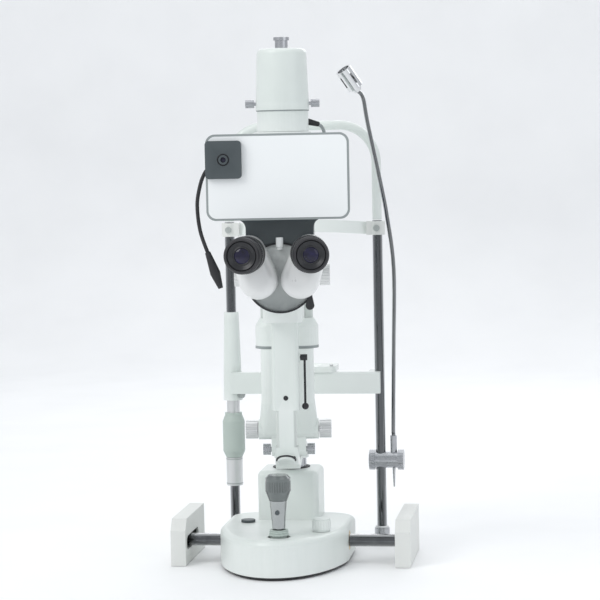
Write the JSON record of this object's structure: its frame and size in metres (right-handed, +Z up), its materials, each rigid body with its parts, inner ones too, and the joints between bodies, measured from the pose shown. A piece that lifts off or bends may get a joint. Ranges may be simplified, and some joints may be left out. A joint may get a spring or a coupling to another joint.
{
  "type": "slit lamp",
  "caption": "Tower-illumination slit lamp with binocular microscope, camera case, joystick base on an axle, chin rest and fixation light.",
  "frame": {"origin": "on the table plane, midway between the two head-rest posts, which is the centre of the four foot screws", "axes": "+Z up, +Y from the operator towards the patient, +X to the operator's right"},
  "size_m": [0.32, 0.4523, 0.699],
  "materials": {
    "white_paint": "satin",
    "cream_plastic": "satin",
    "chrome": "polished",
    "steel": "machined",
    "satin_silver": "satin anodised",
    "sage_plastic": "fine texture",
    "slate_plastic": "fine texture",
    "grey_plastic": "satin",
    "camera_white": "gloss",
    "black_rubber": "matt",
    "black_metal": "satin black",
    "brass": "machined",
    "optical_glass": "coated",
    "mirror_glass": "front-silvered"
  },
  "bodies": {
    "root": {"rail_covers": "cream_plastic", "guide_racks": "steel", "headrest_posts": "chrome", "post_feet": "steel", "headrest_arch": "white_paint", "forehead_band": "white_paint", "band_clamps": "cream_plastic", "lift_collar": "satin_silver"},
    "chin_rest": {"chin_bracket": "white_paint", "chin_cup": "white_paint"},
    "chin_grip": {"chin_grip": "sage_plastic"},
    "fixation": {"fixation_clamp": "steel", "gooseneck": "chrome", "fixation_lamp": "chrome"},
    "axle": {"axle": "chrome"},
    "wheels": {"rack_wheels": "steel"},
    "base": {"base_housing": "white_paint", "base_plate": "black_metal", "axle_bushes": "brass", "glide_pad": "grey_plastic", "column_housing": "white_paint", "base_cable": "black_rubber"},
    "dial": {"brightness_dial": "slate_plastic"},
    "base_lock": {"base_lock_knob": "white_paint"},
    "boot": {"joystick_boot": "sage_plastic"},
    "stick": {"joystick_stick": "satin_silver"},
    "grip": {"joystick_grip": "grey_plastic"},
    "button": {"joystick_button": "slate_plastic"},
    "column": {"lift_column": "steel", "lift_spindle": "steel", "lift_spring": "steel"},
    "nut": {"lift_nut": "brass"},
    "microscope": {"microscope_arm": "white_paint", "microscope_body": "white_paint", "objective_lens": "optical_glass", "beam_splitter": "slate_plastic", "camera_case": "camera_white", "camera_rim": "grey_plastic", "camera_module": "slate_plastic", "camera_cable": "black_rubber"},
    "latch": {"latch_lever": "black_metal"},
    "drum": {"magnification_drum": "satin_silver"},
    "prism_left": {"prism_housing_left": "satin_silver"},
    "prism_right": {"prism_housing_right": "satin_silver"},
    "ocular_left": {"eyepiece_left": "black_rubber"},
    "ocular_right": {"eyepiece_right": "black_rubber"},
    "lamp_arm": {"illumination_arm": "white_paint"},
    "tilt_clamp": {"tilt_knobs": "steel"},
    "tower": {"tower_body": "white_paint", "tower_head": "white_paint", "deflecting_mirror": "mirror_glass", "tower_lenses": "optical_glass"},
    "slit_shaft": {"slit_knobs": "satin_silver"},
    "jaw_left": {"slit_jaw_left": "black_metal"},
    "jaw_right": {"slit_jaw_right": "black_metal"},
    "filter": {"filter_disc": "black_metal"},
    "lamp_head": {"lamp_housing": "white_paint", "lamp_vent": "steel", "lamp_screws": "steel", "lamp_bulb": "steel"}
  },
  "joints": [
    {"name": "fore_aft", "type": "slide", "parent": "root", "child": "axle", "axis": [0, 1, 0], "range_m": [-0.021, 0.034]},
    {"name": "wheel_roll", "type": "hinge", "parent": "axle", "child": "wheels", "pos_m": [0, -0.145, 0.0285], "axis": [1, 0, 0], "range_deg": [-112, 72]},
    {"name": "lateral", "type": "slide", "parent": "axle", "child": "base", "axis": [1, 0, 0], "range_m": [-0.035, 0.062]},
    {"name": "dial_turn", "type": "hinge", "parent": "base", "child": "dial", "pos_m": [-0.063, -0.138, 0.05], "axis": [0, 0, 1], "range_deg": [-135, 135]},
    {"name": "base_lock_turn", "type": "hinge", "parent": "base", "child": "base_lock", "pos_m": [0.045, -0.203, 0.06], "axis": [0, 0, 1], "range_deg": [-90, 90]},
    {"name": "joystick_fore_aft", "type": "hinge", "parent": "base", "child": "boot", "pos_m": [-0.005, -0.247, 0.04], "axis": [1, 0, 0], "range_deg": [-8, 8], "stiffness_Nm_per_rad": 0.3},
    {"name": "joystick_sideways", "type": "hinge", "parent": "boot", "child": "stick", "pos_m": [-0.005, -0.247, 0.04], "axis": [0, 1, 0], "range_deg": [-8, 8], "stiffness_Nm_per_rad": 0.3},
    {"name": "joystick_twist", "type": "hinge", "parent": "stick", "child": "grip", "pos_m": [-0.005, -0.247, 0.11], "axis": [0, 0, 1], "range_deg": [-290, 434]},
    {"name": "button_press", "type": "slide", "parent": "stick", "child": "button", "axis": [0, 1, 0], "range_m": [0, 0.0015], "stiffness_N_per_m": 400},
    {"name": "elevation", "type": "slide", "parent": "base", "child": "column", "axis": [0, 0, 1], "range_m": [-0.012, 0.018], "deforming": ["lift_spring"]},
    {"name": "nut_turn", "type": "hinge", "parent": "base", "child": "nut", "pos_m": [-0.011, -0.08, 0.025], "axis": [0, 0, 1], "range_deg": [-290, 434]},
    {"name": "microscope_swing", "type": "hinge", "parent": "column", "child": "microscope", "pos_m": [-0.011, -0.08, 0.136], "axis": [0, 0, 1], "range_deg": [-51, 39]},
    {"name": "latch_swing", "type": "hinge", "parent": "microscope", "child": "latch", "pos_m": [0.02698, -0.21175, 0.281], "axis": [0.9945, 0.1045, 0], "range_deg": [-20, 20]},
    {"name": "magnification_turn", "type": "hinge", "parent": "microscope", "child": "drum", "pos_m": [0.00782, -0.25901, 0.391], "axis": [0.9945, 0.1045, 0], "continuous": true},
    {"name": "pupil_left", "type": "hinge", "parent": "microscope", "child": "prism_left", "pos_m": [-0.01229, -0.31643, 0.391], "axis": [-0.1045, 0.9945, 0], "range_deg": [-3, 17]},
    {"name": "pupil_right", "type": "hinge", "parent": "microscope", "child": "prism_right", "pos_m": [0.03942, -0.311, 0.391], "axis": [-0.1045, 0.9945, 0], "range_deg": [-17, 3]},
    {"name": "dioptre_left", "type": "hinge", "parent": "prism_left", "child": "ocular_left", "pos_m": [-0.01743, -0.38233, 0.424], "axis": [0, 1, 0], "range_deg": [-60, 60]},
    {"name": "dioptre_right", "type": "hinge", "parent": "prism_right", "child": "ocular_right", "pos_m": [0.05815, -0.37438, 0.424], "axis": [-0.2079, 0.9781, 0], "range_deg": [-60, 60]},
    {"name": "illumination_swing", "type": "hinge", "parent": "column", "child": "lamp_arm", "pos_m": [-0.011, -0.08, 0.147], "axis": [0, 0, 1], "range_deg": [-51, 39]},
    {"name": "tilt_clamp_turn", "type": "hinge", "parent": "lamp_arm", "child": "tilt_clamp", "pos_m": [-0.00368, -0.14962, 0.152], "axis": [0.9945, 0.1045, 0], "range_deg": [-40, 40]},
    {"name": "tower_tilt", "type": "hinge", "parent": "lamp_arm", "child": "tower", "pos_m": [-0.00368, -0.14962, 0.152], "axis": [0.9945, 0.1045, 0], "range_deg": [-12, 0]},
    {"name": "slit_width_turn", "type": "hinge", "parent": "tower", "child": "slit_shaft", "pos_m": [-0.00368, -0.14962, 0.179], "axis": [0.9945, 0.1045, 0], "range_deg": [0, 300]},
    {"name": "jaw_left_slide", "type": "slide", "parent": "lamp_head", "child": "jaw_left", "axis": [-0.9945, -0.1045, 0], "range_m": [0, 0.007]},
    {"name": "jaw_right_slide", "type": "slide", "parent": "lamp_head", "child": "jaw_right", "axis": [0.9945, 0.1045, 0], "range_m": [0, 0.007]},
    {"name": "filter_turn", "type": "hinge", "parent": "tower", "child": "filter", "pos_m": [-0.00191, -0.16652, 0.535], "axis": [0, 0, 1], "range_deg": [-144, 144]},
    {"name": "slit_rotation", "type": "hinge", "parent": "tower", "child": "lamp_head", "pos_m": [-0.00368, -0.14962, 0.6], "axis": [0, 0, 1], "range_deg": [-90, 90]},
    {"name": "chin_height", "type": "slide", "parent": "root", "child": "chin_rest", "axis": [0, 0, 1], "range_m": [-0.015, 0.045]},
    {"name": "chin_grip_turn", "type": "hinge", "parent": "root", "child": "chin_grip", "pos_m": [-0.104, 0, 0.15], "axis": [0, 0, 1], "range_deg": [-275, 815]},
    {"name": "fixation_swivel", "type": "hinge", "parent": "root", "child": "fixation", "pos_m": [0.104, 0, 0.116], "axis": [0, 0, -1], "range_deg": [-30, 30]}
  ],
  "couplings": [
    {"joint": "wheel_roll", "follows": "fore_aft", "rad_per_m": -55.556},
    {"joint": "joystick_twist", "follows": "elevation", "rad_per_m": 418.88},
    {"joint": "nut_turn", "follows": "elevation", "rad_per_m": 418.88},
    {"joint": "pupil_right", "follows": "pupil_left", "ratio": -1},
    {"joint": "jaw_left_slide", "follows": "slit_width_turn", "m_per_rad": 0.0012605},
    {"joint": "jaw_right_slide", "follows": "slit_width_turn", "m_per_rad": 0.0012605},
    {"joint": "chin_grip_turn", "follows": "chin_height", "rad_per_m": 314.16}
  ]
}
